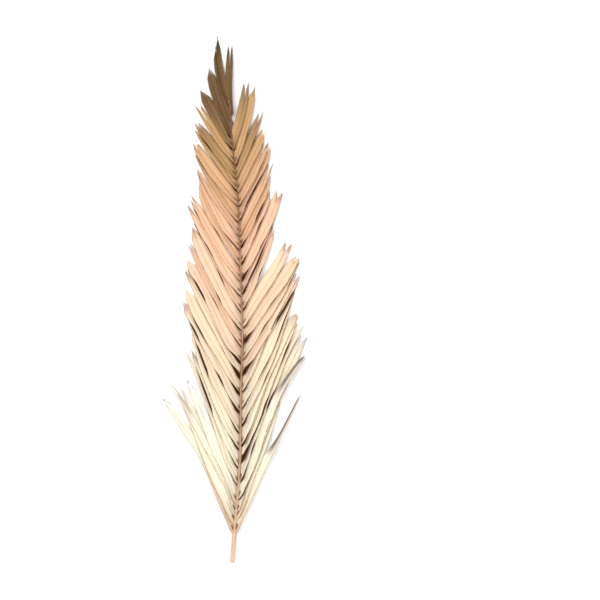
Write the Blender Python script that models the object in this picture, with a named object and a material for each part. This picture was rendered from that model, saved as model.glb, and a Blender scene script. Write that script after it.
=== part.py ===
"""A dried date palm frond, cut with a short bare stalk and lying on its underside.

Units are metres. The frond's tip points to +Y and its upper side to +Z. The origin is at the
flat spot on the stalk's underside that the frond rests on. Stations along the frond are
measured from the cut end of the stalk, and its left is -X.
"""

import math
import random
from typing import NamedTuple

import bmesh
import bpy
from mathutils import Vector

# Where on the stalk the frond rests, measured from the cut end.
REST_ALONG = 0.434

# The stalk: distance from the cut end, sideways place, height of its underside, width, depth.
STALK_STATIONS = (
    (0.000, -0.0152, 0.0070, 0.0096, 0.0082),
    (0.064, -0.0108, 0.0030, 0.0088, 0.0076),
    (0.108, -0.0072, 0.0008, 0.0084, 0.0074),
    (0.150, -0.0034, 0.0000, 0.0078, 0.0070),
    (0.216, 0.0000, 0.0000, 0.0072, 0.0066),
    (0.284, 0.0010, 0.0000, 0.0068, 0.0064),
    (0.344, 0.0018, 0.0000, 0.0064, 0.0062),
    (0.434, 0.0046, 0.0000, 0.0060, 0.0058),
    (0.492, 0.0042, 0.0000, 0.0056, 0.0054),
    (0.550, 0.0020, 0.0000, 0.0053, 0.0051),
    (0.606, 0.0004, 0.0000, 0.0050, 0.0048),
    (0.652, -0.0010, 0.0008, 0.0047, 0.0045),
    (0.732, -0.0042, 0.0034, 0.0042, 0.0041),
    (0.772, -0.0080, 0.0047, 0.0041, 0.0041),
    (0.834, -0.0148, 0.0058, 0.0040, 0.0040),
    (0.874, -0.0184, 0.0064, 0.0040, 0.0040),
    (0.936, -0.0192, 0.0070, 0.0038, 0.0038),
)

# The stalk's cross-section, as shares of its width and depth: flat below, ridged above.
STALK_SECTION = (
    (-0.20, 0.00),
    (0.20, 0.00),
    (0.48, 0.32),
    (0.44, 0.72),
    (0.16, 1.00),
    (-0.16, 1.00),
    (-0.44, 0.72),
    (-0.48, 0.32),
)

LEFT = -1
RIGHT = 1

# For each side, root of a leaflet along the stalk, then its tip: distance along, distance out
# from the frond's middle line, and the outward turn of its end. Leaflets between two stations
# take values between theirs.
TIP_STATIONS = {
    LEFT: (
        (0.084, 0.350, 0.114, 0.02),
        (0.116, 0.352, 0.098, 0.02),
        (0.150, 0.420, 0.108, 0.04),
        (0.200, 0.430, 0.088, 0.00),
        (0.238, 0.476, 0.098, -0.04),
        (0.276, 0.502, 0.114, 0.02),
        (0.340, 0.552, 0.104, -0.04),
        (0.408, 0.616, 0.104, -0.06),
        (0.480, 0.670, 0.102, -0.06),
        (0.544, 0.722, 0.096, -0.06),
        (0.624, 0.768, 0.086, -0.06),
        (0.682, 0.808, 0.086, -0.06),
        (0.752, 0.860, 0.084, -0.06),
        (0.812, 0.926, 0.090, -0.06),
        (0.838, 0.960, 0.072, -0.06),
        (0.862, 0.994, 0.060, -0.06),
        (0.886, 1.022, 0.050, -0.06),
        (0.914, 1.046, 0.044, -0.06),
    ),
    RIGHT: (
        (0.092, 0.350, 0.086, 0.02),
        (0.140, 0.470, 0.134, 0.16),
        (0.184, 0.490, 0.122, 0.14),
        (0.244, 0.500, 0.108, 0.06),
        (0.304, 0.530, 0.106, 0.02),
        (0.362, 0.572, 0.114, 0.06),
        (0.442, 0.606, 0.118, 0.06),
        (0.480, 0.640, 0.090, 0.00),
        (0.516, 0.680, 0.082, -0.06),
        (0.546, 0.742, 0.088, -0.06),
        (0.606, 0.752, 0.062, -0.06),
        (0.642, 0.788, 0.062, -0.06),
        (0.704, 0.832, 0.052, -0.06),
        (0.772, 0.888, 0.038, -0.06),
        (0.812, 0.958, 0.024, -0.06),
        (0.840, 0.974, 0.004, -0.06),
    ),
}

# Spacing of the roots on one side, at the lowest leaflet and at the tip of the frond.
LOW_SPACING = 0.038
HIGH_SPACING = 0.026
LAST_ROOT = {LEFT: 0.920, RIGHT: 0.852}

# A leaflet's width to one side of its fold, by where it is rooted.
HALF_WIDTHS = ((0.0, 0.0118), (0.30, 0.0122), (0.85, 0.0108), (0.93, 0.0062))
BLADE_THICKNESS = 0.0008

# Along a leaflet, shares of its full half width and the angle of its fold.
WIDTH_PROFILE = ((0.0, 0.50), (0.07, 0.96), (0.30, 1.0), (0.75, 0.92), (1.0, 0.60))
FOLD_PROFILE = ((0.0, 30.0), (0.10, 22.0), (0.30, 17.0), (0.70, 14.0), (1.0, 12.0))
TILT_PROFILE = ((0.0, 12.0), (0.10, 30.0), (0.30, 25.0), (0.60, 18.0), (1.0, 13.0))

# How much of a pinched blade's narrowing is reached along it.
PINCH_PROFILE = ((0.0, 0.0), (0.50, 0.0), (0.74, 1.0), (1.0, 1.0))

# How far a blade's edges are drawn out to either side along it, near its root.
SLANT_PROFILE = ((0.0, 0.012), (0.12, 0.007), (0.35, 0.0), (1.0, 0.0))

# Sides of a blade, by the ring's point they start at, whose diagonals slope the other way, so
# that its upper and lower faces are split alike.
FALLING_SIDES = (1, 4)

# Sections along a blade, how they crowd towards its root, and the length past the last of them.
SEGMENTS = 8
CROWDING = 1.25
END_LENGTH = 0.020

# The root of a blade inside the stalk, at its outer edge, fold and inner edge: steps along the
# stalk, then places out and up as shares of its width and depth, and the share it is thick.
ROOT_POINTS = ((-0.012, 0.10, 0.62), (0.0, 0.22, 0.50), (0.012, 0.10, 0.56))
ROOT_THICKNESS = 0.16

# Where a leaflet's fold starts, as shares of the stalk's width and depth. Then how it leaves the
# stalk and arrives at its tip: shares of its length and of its angle, and how far it is lifted.
ROOT_OUT = 0.22
ROOT_UP = 0.50
LEAVING_SHARE = 0.24
LEAVING_TURN = 1.05
LEAVING_BOW = 0.5
ROOT_LIFT = 0.0075
SHOULDER_LIFT = 0.0050

# How much leaflets differ from the rule: root, tip along and out, share of the width, height of
# the lowest point over the surface, bow and twist.
SEED = 101
ROOT_JITTER = 0.0035
ALONG_JITTER = 0.010
OUT_JITTER = 0.007
WIDTH_JITTER = 0.22
CLEARANCES = (0.0, 0.0015)
BOW_JITTER = 0.09
TWIST_JITTER = 0.16


class Ending(NamedTuple):
    """How a blade ends: how far its outer edge, fold and inner edge run past the curve's end, and
    the share of its full half width that it keeps there."""

    outer: float
    fold: float
    inner: float
    keep: float


POINTED = Ending(-0.004, 0.002, -0.004, 0.10)
FORKED = Ending(0.003, -0.013, -0.001, 0.48)
SLANTED_OUT = Ending(0.002, -0.006, -0.014, 0.34)
SLANTED_IN = Ending(-0.014, -0.006, 0.002, 0.34)
BLUNT = Ending(-0.002, 0.000, -0.003, 0.46)
ENDINGS = (POINTED, POINTED, POINTED, FORKED, FORKED, SLANTED_OUT, SLANTED_IN, BLUNT)


class Leaflet(NamedTuple):
    """One leaflet: where it is rooted and ends, and how it is shaped between. The bow is how much
    further out its end points than its length, and it turns there over the turn's share. The
    lead is how much further out it leaves the stalk. A pinched blade has curled up towards its
    end to this share of its width."""

    side: int
    root: float
    tip_along: float
    tip_out: float
    half_width: float
    bow: float
    twist: float
    ending: Ending
    lead: float = 0.0
    turn: float = 0.42
    pinch: float = 1.0
    tip_height: float = 0.004


# Leaflets that stand out from the rule: two splayed ones lowest on the left, a curled and a bent
# one lowest on the right, and the forked one at the frond's tip.
STRAYS = (
    Leaflet(LEFT, 0.064, 0.328, 0.154, 0.0104, 0.30, 0.00, POINTED, turn=0.30, pinch=0.8),
    Leaflet(LEFT, 0.104, 0.364, 0.148, 0.0076, 0.26, 0.05, POINTED, turn=0.30, pinch=0.7),
    Leaflet(RIGHT, 0.066, 0.342, 0.122, 0.0116, 0.00, 0.10, POINTED, lead=-0.20, pinch=0.40),
    Leaflet(RIGHT, 0.104, 0.412, 0.132, 0.0108, 0.58, 0.05, BLUNT, lead=0.08, turn=0.17, pinch=0.6),
    Leaflet(RIGHT, 0.902, 1.034, -0.020, 0.0085, 0.02, 0.00, FORKED),
)

# Stations of the four leaflets, two on each side, that touch the surface beside the stalk.
RESTING_ALONG = (0.34, 0.70)
SETTLING_STEPS = 6

# Dried leaf: pale straw, dull.
STRAW_COLOUR = (0.62, 0.44, 0.24, 1.0)
STRAW_ROUGHNESS = 0.62


def between(stations, at):
    """Values of a row of stations at a place between two of them, as a tuple."""
    if at <= stations[0][0]:
        return stations[0][1:]
    for low, high in zip(stations, stations[1:]):
        if at <= high[0]:
            share = (at - low[0]) / (high[0] - low[0])
            return tuple(a + share * (b - a) for a, b in zip(low[1:], high[1:]))
    return stations[-1][1:]


def mixed(low, high, share):
    return low + share * (high - low)


def clear_scene():
    for obj in list(bpy.data.objects):
        bpy.data.objects.remove(obj, do_unlink=True)


def new_collection(name):
    collection = bpy.data.collections.new(name)
    bpy.context.scene.collection.children.link(collection)
    return collection


def straw_material():
    material = bpy.data.materials.new("dried_leaf")
    material.use_nodes = True
    shader = material.node_tree.nodes["Principled BSDF"]
    shader.inputs["Base Color"].default_value = STRAW_COLOUR
    shader.inputs["Roughness"].default_value = STRAW_ROUGHNESS
    return material


def object_from(bm, name, collection):
    """A mesh object made from a bmesh, which is freed."""
    bmesh.ops.recalc_face_normals(bm, faces=bm.faces)
    mesh = bpy.data.meshes.new(name)
    bm.to_mesh(mesh)
    bm.free()
    obj = bpy.data.objects.new(name, mesh)
    collection.objects.link(obj)
    return obj


def stalk_ring(station):
    along, sideways, underside, width, depth = station
    return [
        Vector((sideways + across * width, along, underside + up * depth))
        for across, up in STALK_SECTION
    ]


def make_stalk(collection):
    """The stalk, lofted through its stations and closed at both ends."""
    bm = bmesh.new()
    rings = [[bm.verts.new(point) for point in stalk_ring(station)] for station in STALK_STATIONS]
    count = len(STALK_SECTION)
    for low, high in zip(rings, rings[1:]):
        for i in range(count):
            j = (i + 1) % count
            bm.faces.new((low[i], low[j], high[j], high[i]))
    bm.faces.new(rings[0])
    bm.faces.new(rings[-1])
    return object_from(bm, "frond", collection)


def heading(angle, side):
    """A level direction, turned outwards from the frond's length by an angle."""
    return Vector((side * math.sin(angle), math.cos(angle), 0.0))


def leaflet_curve(leaflet):
    """Control points of a leaflet's fold line: it leaves close along the stalk, then bends out."""
    sideways, underside, width, depth = between(STALK_STATIONS, leaflet.root)
    root = Vector((
        sideways + leaflet.side * ROOT_OUT * width,
        leaflet.root,
        underside + ROOT_UP * depth,
    ))
    tip = Vector((leaflet.side * leaflet.tip_out, leaflet.tip_along, leaflet.tip_height))
    run = tip - root
    angle = math.atan2(leaflet.side * run.x, run.y)
    first = LEAVING_TURN * angle - LEAVING_BOW * leaflet.bow + leaflet.lead
    leaving = root + LEAVING_SHARE * run.length * heading(first, leaflet.side)
    leaving.z = root.z + ROOT_LIFT
    arriving = tip - leaflet.turn * run.length * heading(angle + leaflet.bow, leaflet.side)
    arriving.z = tip.z + SHOULDER_LIFT
    return root, leaving, arriving, tip


def place_on(curve, share):
    """Place and direction at a share of a cubic curve."""
    a, b, c, d = curve
    rest = 1.0 - share
    place = rest**3 * a + 3 * rest**2 * share * b + 3 * rest * share**2 * c + share**3 * d
    direction = rest**2 * (b - a) + 2 * rest * share * (c - b) + share**2 * (d - c)
    return place, direction.normalized()


def blade_ring(leaflet, curve, share, reach, advances):
    """Six points round a blade: outer edge, fold and inner edge above, then back below them."""
    place, direction = place_on(curve, share)
    outwards = leaflet.side * direction.cross(Vector((0.0, 0.0, 1.0))).normalized()
    up = leaflet.side * outwards.cross(direction)
    tilt = math.radians(between(TILT_PROFILE, share)[0]) + leaflet.twist * share**2
    across = outwards * math.cos(tilt) + up * math.sin(tilt)
    above = up * math.cos(tilt) - outwards * math.sin(tilt)
    fold = math.radians(between(FOLD_PROFILE, share)[0])
    spread = reach * math.cos(fold) * across
    rise = reach * math.sin(fold) * above
    down = -BLADE_THICKNESS / math.cos(fold) * above
    face = [place + spread + rise, place, place - spread + rise]
    face = [point + advance * direction for point, advance in zip(face, advances)]
    return face + [point + down for point in reversed(face)]


def root_ring(leaflet):
    """The blade's first ring, drawn out along the stalk and sunk inside it."""
    face = []
    for step, out, up in ROOT_POINTS:
        along = leaflet.root + step
        sideways, underside, width, depth = between(STALK_STATIONS, along)
        face.append(Vector((sideways + leaflet.side * out * width, along, underside + up * depth)))
    down = Vector((0.0, 0.0, -ROOT_THICKNESS * depth))
    return face + [point + down for point in reversed(face)]


def leaflet_rings(leaflet):
    curve = leaflet_curve(leaflet)
    full_share = 1.0 - END_LENGTH / (curve[3] - curve[0]).length
    rings = [root_ring(leaflet)]
    for k in range(1, SEGMENTS + 1):
        share = full_share * (k / SEGMENTS) ** CROWDING
        reach = leaflet.half_width * between(WIDTH_PROFILE, share)[0]
        reach *= mixed(1.0, leaflet.pinch, between(PINCH_PROFILE, share)[0])
        slant = between(SLANT_PROFILE, share)[0]
        rings.append(blade_ring(leaflet, curve, share, reach, (-slant, 0.0, slant)))
    ending = leaflet.ending
    reach = leaflet.half_width * ending.keep * leaflet.pinch
    rings.append(blade_ring(leaflet, curve, 1.0, reach, ending[:3]))
    return rings


def settled(leaflet, clearance):
    """The leaflet with its tip moved up or down until its lowest point clears the surface by
    this much."""
    for _ in range(SETTLING_STEPS):
        lowest = min(point.z for ring in leaflet_rings(leaflet) for point in ring)
        leaflet = leaflet._replace(tip_height=leaflet.tip_height + clearance - lowest)
    return leaflet


def split_quad(bm, low, high, i, rising):
    """The two triangles between two points of a ring and the same two of the next."""
    j = (i + 1) % len(low)
    if rising:
        bm.faces.new((low[i], low[j], high[i]))
        bm.faces.new((low[j], high[j], high[i]))
    else:
        bm.faces.new((low[i], low[j], high[j]))
        bm.faces.new((low[i], high[j], high[i]))


def make_leaflet(leaflet, name, collection):
    """A leaflet's blade: a long trough, split into triangles alike on both faces."""
    bm = bmesh.new()
    rings = [[bm.verts.new(point) for point in ring] for ring in leaflet_rings(leaflet)]
    for low, high in zip(rings, rings[1:]):
        for i in range(len(low)):
            split_quad(bm, low, high, i, rising=i not in FALLING_SIDES)
    for ring in (rings[0], rings[-1]):
        bm.faces.new((ring[0], ring[1], ring[4], ring[5]))
        bm.faces.new((ring[1], ring[2], ring[3], ring[4]))
    return object_from(bm, name, collection)


def root_stations(side):
    """Roots along one side, closer together towards the tip of the frond."""
    first = TIP_STATIONS[side][0][0]
    last = LAST_ROOT[side]
    root = first
    while root < last:
        yield root
        root += mixed(LOW_SPACING, HIGH_SPACING, (root - first) / (last - first))


def leaflets_of(side, draw):
    """The leaflets along one side, each a little off the rule."""
    roots = list(root_stations(side))
    resting = [min(roots, key=lambda root: abs(root - along)) for along in RESTING_ALONG]
    for root in roots:
        tip_along, tip_out, bow = between(TIP_STATIONS[side], root)
        leaflet = Leaflet(
            side,
            root + draw.uniform(-ROOT_JITTER, ROOT_JITTER),
            tip_along + draw.uniform(-ALONG_JITTER, ALONG_JITTER),
            tip_out + draw.uniform(-OUT_JITTER, OUT_JITTER),
            between(HALF_WIDTHS, root)[0] * draw.uniform(1 - WIDTH_JITTER, 1 + WIDTH_JITTER),
            bow + draw.uniform(-BOW_JITTER, BOW_JITTER),
            draw.uniform(-TWIST_JITTER, TWIST_JITTER),
            draw.choice(ENDINGS),
        )
        clearance = draw.uniform(*CLEARANCES)
        yield settled(leaflet, 0.0 if root in resting else clearance)


def all_leaflets():
    draw = random.Random(SEED)
    leaflets = list(leaflets_of(LEFT, draw)) + list(leaflets_of(RIGHT, draw))
    return leaflets + [settled(stray, CLEARANCES[1]) for stray in STRAYS]


def join(frond, blades):
    """One solid of the stalk and the blades of a collection, which is then emptied."""
    union = frond.modifiers.new("union", "BOOLEAN")
    union.operation = "UNION"
    union.operand_type = "COLLECTION"
    union.collection = blades
    union.solver = "MANIFOLD"
    bpy.context.view_layer.objects.active = frond
    bpy.ops.object.modifier_apply(modifier=union.name)
    for blade in list(blades.objects):
        bpy.data.objects.remove(blade, do_unlink=True)
    bpy.data.collections.remove(blades)


def shells(bm):
    """The separate surfaces of a bmesh, each as a list of faces joined edge to edge."""
    unseen = set(bm.faces)
    while unseen:
        shell = [unseen.pop()]
        for face in shell:
            for edge in face.edges:
                if len(edge.link_faces) != 2:
                    continue
                for other in edge.link_faces:
                    if other in unseen:
                        unseen.remove(other)
                        shell.append(other)
        yield shell


def keep_largest_shell(obj):
    """Fills the small hollows that joining seals, and drops any loose scrap."""
    bm = bmesh.new()
    bm.from_mesh(obj.data)
    bmesh.ops.triangulate(bm, faces=bm.faces)
    spare = sorted(shells(bm), key=len)[:-1]
    bmesh.ops.delete(bm, geom=[face for shell in spare for face in shell], context="FACES")
    bm.to_mesh(obj.data)
    bm.free()


def main():
    clear_scene()
    frond = make_stalk(new_collection("dried_date_palm_frond"))
    blades = new_collection("blades")
    for number, leaflet in enumerate(all_leaflets()):
        make_leaflet(leaflet, f"blade_{number:02d}", blades)
    join(frond, blades)
    keep_largest_shell(frond)
    frond.data.materials.append(straw_material())
    sideways = between(STALK_STATIONS, REST_ALONG)[0]
    frond.location = (-sideways, -REST_ALONG, 0.0)


main()
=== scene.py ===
"""The finished look of a dried date palm frond lying on a pale floor.

Units are metres. The frond's tip points to +Y and its upper side to +Z, and the origin is at the
flat spot on the stalk's underside that it rests on. Stations along the frond are measured from
the cut end of the stalk, and its left is -X.
"""

import logging
import math
import random
from dataclasses import dataclass, field
from enum import Enum
from functools import reduce
from itertools import product
from typing import Iterator, NamedTuple, Sequence

import bmesh
import bpy
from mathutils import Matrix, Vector, noise

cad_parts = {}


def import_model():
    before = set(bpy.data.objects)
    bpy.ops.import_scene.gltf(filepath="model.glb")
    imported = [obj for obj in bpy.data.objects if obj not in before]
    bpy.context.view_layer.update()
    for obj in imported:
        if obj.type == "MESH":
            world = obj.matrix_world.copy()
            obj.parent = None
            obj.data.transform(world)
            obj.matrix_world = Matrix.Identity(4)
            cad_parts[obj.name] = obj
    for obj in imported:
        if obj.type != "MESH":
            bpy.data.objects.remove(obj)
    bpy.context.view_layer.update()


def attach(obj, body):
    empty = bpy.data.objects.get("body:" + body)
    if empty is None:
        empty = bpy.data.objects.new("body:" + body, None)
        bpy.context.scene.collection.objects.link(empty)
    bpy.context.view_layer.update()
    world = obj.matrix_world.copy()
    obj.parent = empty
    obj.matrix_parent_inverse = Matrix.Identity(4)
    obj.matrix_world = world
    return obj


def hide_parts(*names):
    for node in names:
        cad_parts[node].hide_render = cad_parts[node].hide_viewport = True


log = logging.getLogger("frond")

Row = tuple[float, ...]
Pair = tuple[float, float]
Profile = tuple[Pair, ...]
Colour = tuple[float, float, float]
Object = bpy.types.Object
Material = bpy.types.Material
Mesh = bpy.types.Mesh
Socket = bpy.types.NodeSocket
Numbers = dict[str, Socket]
Stops = tuple[tuple[float, Colour], ...]

REST_ALONG = 0.434
REST_SIDEWAYS = 0.0046
FROND_LENGTH = 1.048
UP = Vector((0.0, 0.0, 1.0))
BODY = "root"
NODE = "frond"
UV_MAP = "blade"


def between(stations: Sequence[Row], at: float) -> Row:
    """Values of a row of stations at a place between two of them.

    Args:
        stations: Rows in order, each a place followed by its values.
        at: The place.

    Returns:
        The values there, without the place.
    """
    if at <= stations[0][0]:
        return stations[0][1:]
    for low, high in zip(stations, stations[1:]):
        if at <= high[0]:
            share = (at - low[0]) / (high[0] - low[0])
            return tuple(a + share * (b - a) for a, b in zip(low[1:], high[1:]))
    return stations[-1][1:]


def mixed(low: float, high: float, share: float) -> float:
    """A value part of the way from one to another."""
    return low + share * (high - low)


def eased(share: float) -> float:
    """A share from 0 to 1 that starts and ends gently."""
    share = min(max(share, 0.0), 1.0)
    return share * share * (3.0 - 2.0 * share)


def in_place(sideways: float, along: float, height: float) -> Vector:
    """A point of the finished frame from a place along the stalk."""
    return Vector((sideways - REST_SIDEWAYS, along - REST_ALONG, height))


class Side(Enum):
    """The side of the stalk that a leaflet grows on."""

    LEFT = -1
    RIGHT = 1


class Ending(NamedTuple):
    """How a blade ends: how far its outer edge, fold and inner edge run past the curve's end, the
    share of its full half width that it keeps there, and how far its two halves have split."""

    outer: float
    fold: float
    inner: float
    keep: float
    split: float


POINTED = Ending(-0.004, 0.002, -0.004, 0.10, 0.012)
FORKED = Ending(0.003, -0.013, -0.001, 0.48, 0.060)
SLANTED_OUT = Ending(0.002, -0.006, -0.014, 0.34, 0.030)
SLANTED_IN = Ending(-0.014, -0.006, 0.002, 0.34, 0.030)
BLUNT = Ending(-0.002, 0.000, -0.003, 0.46, 0.018)


class Leaflet(NamedTuple):
    """One leaflet: where it is rooted and ends, and how it is shaped between. The bow is how much
    further out its end points than its length, and it turns there over the turn's share. The
    lead is how much further out it leaves the stalk. A pinched blade has curled up towards its
    end to this share of its width."""

    side: Side
    root: float
    tip_along: float
    tip_out: float
    half_width: float
    bow: float
    twist: float
    ending: Ending
    lead: float = 0.0
    turn: float = 0.42
    pinch: float = 1.0
    tip_height: float = 0.004


@dataclass(frozen=True)
class StalkForm:
    """The stalk's stations and section, which the leaflets are rooted in.

    A station is the distance from the cut end, sideways place, height of the underside, width
    and depth. The section is in shares of width and depth: flat below, ridged above.
    """

    stations: tuple[Row, ...] = (
        (0.000, -0.0152, 0.0070, 0.0096, 0.0082), (0.064, -0.0108, 0.0030, 0.0088, 0.0076),
        (0.108, -0.0072, 0.0008, 0.0084, 0.0074), (0.150, -0.0034, 0.0000, 0.0078, 0.0070),
        (0.216, 0.0000, 0.0000, 0.0072, 0.0066), (0.284, 0.0010, 0.0000, 0.0068, 0.0064),
        (0.344, 0.0018, 0.0000, 0.0064, 0.0062), (0.434, 0.0046, 0.0000, 0.0060, 0.0058),
        (0.492, 0.0042, 0.0000, 0.0056, 0.0054), (0.550, 0.0020, 0.0000, 0.0053, 0.0051),
        (0.606, 0.0004, 0.0000, 0.0050, 0.0048), (0.652, -0.0010, 0.0008, 0.0047, 0.0045),
        (0.732, -0.0042, 0.0034, 0.0042, 0.0041), (0.772, -0.0080, 0.0047, 0.0041, 0.0041),
        (0.834, -0.0148, 0.0058, 0.0040, 0.0040), (0.874, -0.0184, 0.0064, 0.0040, 0.0040),
        (0.936, -0.0192, 0.0070, 0.0038, 0.0038),
    )
    section: Profile = (
        (-0.20, 0.00), (0.20, 0.00), (0.48, 0.32), (0.44, 0.72),
        (0.16, 1.00), (-0.16, 1.00), (-0.44, 0.72), (-0.48, 0.32),
    )
    middle: float = 0.5

    def at(self, along: float) -> Row:
        """Sideways place, height of the underside, width and depth at a station."""
        return between(self.stations, along)


@dataclass(frozen=True)
class BladeRule:
    """How every leaflet's blade runs and widens. The settling uses the plain form's own sections,
    so that the tips keep its heights."""

    width: Profile = ((0.0, 0.50), (0.07, 0.96), (0.30, 1.0), (0.75, 0.92), (1.0, 0.60))
    fold: Profile = ((0.0, 30.0), (0.10, 22.0), (0.30, 17.0), (0.70, 14.0), (1.0, 12.0))
    tilt: Profile = ((0.0, 12.0), (0.10, 30.0), (0.30, 25.0), (0.60, 18.0), (1.0, 13.0))
    pinch: Profile = ((0.0, 0.0), (0.50, 0.0), (0.74, 1.0), (1.0, 1.0))
    slant: Profile = ((0.0, 0.012), (0.12, 0.007), (0.35, 0.0), (1.0, 0.0))
    plain_sections: int = 8
    plain_crowding: float = 1.25
    plain_thickness: float = 0.0008
    end_length: float = 0.020
    root_points: tuple[Row, ...] = ((-0.012, 0.10, 0.62), (0.0, 0.22, 0.50), (0.012, 0.10, 0.56))
    root_thickness: float = 0.16
    root_out: float = 0.22
    root_up: float = 0.50
    leaving_share: float = 0.24
    leaving_turn: float = 1.05
    leaving_bow: float = 0.5
    root_lift: float = 0.0075
    shoulder_lift: float = 0.0050
    settling_steps: int = 6
    hollow: float = 0.10
    root_phase: float = 40.0
    side_phase: float = 20.0
    sway: float = 0.005
    sway_length: float = 0.11
    sway_start: float = 0.22
    sway_row: float = 8.0
    narrowing: float = 0.24
    narrowing_length: float = 0.09
    narrowing_row: float = 2.0
    curl_lift: float = 0.012
    curl_full: float = 0.4
    partings: tuple[tuple[Side, float, float], ...] = (
        (Side.LEFT, 0.588, 0.006),
        (Side.RIGHT, 0.496, 0.017),
    )
    parting_reach: float = 0.075


class Frame(NamedTuple):
    """A place on a blade's fold and the directions there."""

    place: Vector
    along: Vector
    across: Vector
    above: Vector


def heading(angle: float, side: Side) -> Vector:
    """A level direction, turned outwards from the frond's length by an angle."""
    return Vector((side.value * math.sin(angle), math.cos(angle), 0.0))


@dataclass
class Blade:
    """The run of one leaflet, from its root in the stalk to its tip."""

    leaflet: Leaflet
    stalk: StalkForm
    rule: BladeRule
    tone: float = 0.5

    def __post_init__(self) -> None:
        """Works out the fold's curve, which everything else follows."""
        leaf, rule = self.leaflet, self.rule
        self.curve = self._curve()
        self.length = (self.curve[3] - self.curve[0]).length
        self.full_share = 1.0 - rule.end_length / self.length
        self.end_reach = leaf.half_width * leaf.ending.keep * leaf.pinch
        self.phase = rule.root_phase * leaf.root + rule.side_phase * leaf.side.value
        self.rooted = leaf.root / FROND_LENGTH

    def _curve(self) -> tuple[Vector, Vector, Vector, Vector]:
        """Control points of the fold: it leaves close along the stalk, then bends out.

        Returns:
            The four points, from the root to the tip.
        """
        leaf, rule = self.leaflet, self.rule
        sideways, underside, width, depth = self.stalk.at(leaf.root)
        side = leaf.side
        out = sideways + side.value * rule.root_out * width
        root = Vector((out, leaf.root, underside + rule.root_up * depth))
        tip = Vector((side.value * leaf.tip_out, leaf.tip_along, leaf.tip_height))
        run = tip - root
        angle = math.atan2(side.value * run.x, run.y)
        first = rule.leaving_turn * angle - rule.leaving_bow * leaf.bow + leaf.lead
        leaving = root + rule.leaving_share * run.length * heading(first, side)
        leaving.z = root.z + rule.root_lift
        arriving = tip - leaf.turn * run.length * heading(angle + leaf.bow, side)
        arriving.z = tip.z + rule.shoulder_lift
        return root, leaving, arriving, tip

    def frame(self, share: float) -> Frame:
        """Place and directions on the fold.

        Args:
            share: How far along the curve, from 0 at the root to 1 at the tip.

        Returns:
            The place, the way along, the way out across the blade, and its upper side.
        """
        a, b, c, d = self.curve
        rest = 1.0 - share
        place = rest**3 * a + 3 * rest**2 * share * b + 3 * rest * share**2 * c + share**3 * d
        along = (rest**2 * (b - a) + 2 * rest * share * (c - b) + share**2 * (d - c)).normalized()
        sign = self.leaflet.side.value
        outwards = sign * along.cross(UP).normalized()
        up = sign * outwards.cross(along)
        tilt = math.radians(between(self.rule.tilt, share)[0]) + self.leaflet.twist * share**2
        across = outwards * math.cos(tilt) + up * math.sin(tilt)
        above = up * math.cos(tilt) - outwards * math.sin(tilt)
        return Frame(place, along, across, above)

    def curled(self, share: float) -> float:
        """How far the blade has curled up, from 0 for flat."""
        return (1.0 - self.leaflet.pinch) * between(self.rule.pinch, share)[0]

    def reach(self, share: float) -> float:
        """Width to one side of the fold."""
        pinched = 1.0 - self.curled(share)
        return self.leaflet.half_width * between(self.rule.width, share)[0] * pinched

    def slanted(self, share: float) -> Row:
        """How far the outer edge, fold and inner edge are drawn along the blade."""
        slant = between(self.rule.slant, share)[0]
        return -slant, 0.0, slant

    def face(self, share: float, reach: float, advances: Sequence[float]) -> list[Vector]:
        """Outer edge, fold and inner edge of the upper face.

        Args:
            share: How far along the curve.
            reach: Width to one side of the fold.
            advances: How far each of the three is drawn along the blade.

        Returns:
            The three points.
        """
        frame = self.frame(share)
        fold = math.radians(between(self.rule.fold, share)[0])
        spread = reach * math.cos(fold) * frame.across
        rise = reach * math.sin(fold) * frame.above
        points = (frame.place + spread + rise, frame.place, frame.place - spread + rise)
        return [point + step * frame.along for point, step in zip(points, advances)]

    def dried_face(self, share: float, reach: float, advances: Sequence[float]) -> list[Vector]:
        """The same three points where the leaflet has dried."""
        kept, moved = self._drying(share)
        return [point + moved for point in self.face(share, reach * kept, advances)]

    def _drying(self, share: float) -> tuple[float, Vector]:
        """What drying has done to the blade.

        Args:
            share: How far along the curve.

        Returns:
            The share of its width that is left, and how far it has swayed and lifted.
        """
        rule = self.rule
        loose = eased(share / rule.sway_start)
        along = share * self.length
        swaying = noise.noise((along / rule.sway_length, self.phase, rule.sway_row))
        thinning = noise.noise((along / rule.narrowing_length, self.phase, rule.narrowing_row))
        shift = rule.sway * swaying * loose + self._parting() * share**2
        lift = rule.curl_lift * eased(self.curled(share) / rule.curl_full)
        moved = shift * self.frame(share).along.cross(UP).normalized() + lift * UP
        return 1.0 - rule.narrowing * max(0.0, thinning) * loose, moved

    def _parting(self) -> float:
        """How far the blade's end leans where the leaflets have parted.

        Returns:
            The distance to its right.
        """
        lean = 0.0
        for side, root, width in self.rule.partings:
            past = self.leaflet.root - root
            if self.leaflet.side is side:
                near = max(0.0, 1.0 - abs(past) / self.rule.parting_reach)
                lean -= side.value * math.copysign(0.5 * width * near, past)
        return lean

    def hollowed(self, width: float, across: float) -> float:
        """How far a half sinks between its fold and its edge."""
        return self.rule.hollow * width * (across * across - across)

    def root_face(self) -> list[Vector]:
        """The upper face at the root, drawn out along the stalk and sunk inside it.

        Returns:
            Its outer edge, fold and inner edge.
        """
        points = []
        for step, out, up in self.rule.root_points:
            along = self.leaflet.root + step
            sideways, underside, width, depth = self.stalk.at(along)
            side = self.leaflet.side.value
            points.append(Vector((sideways + side * out * width, along, underside + up * depth)))
        return points

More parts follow.
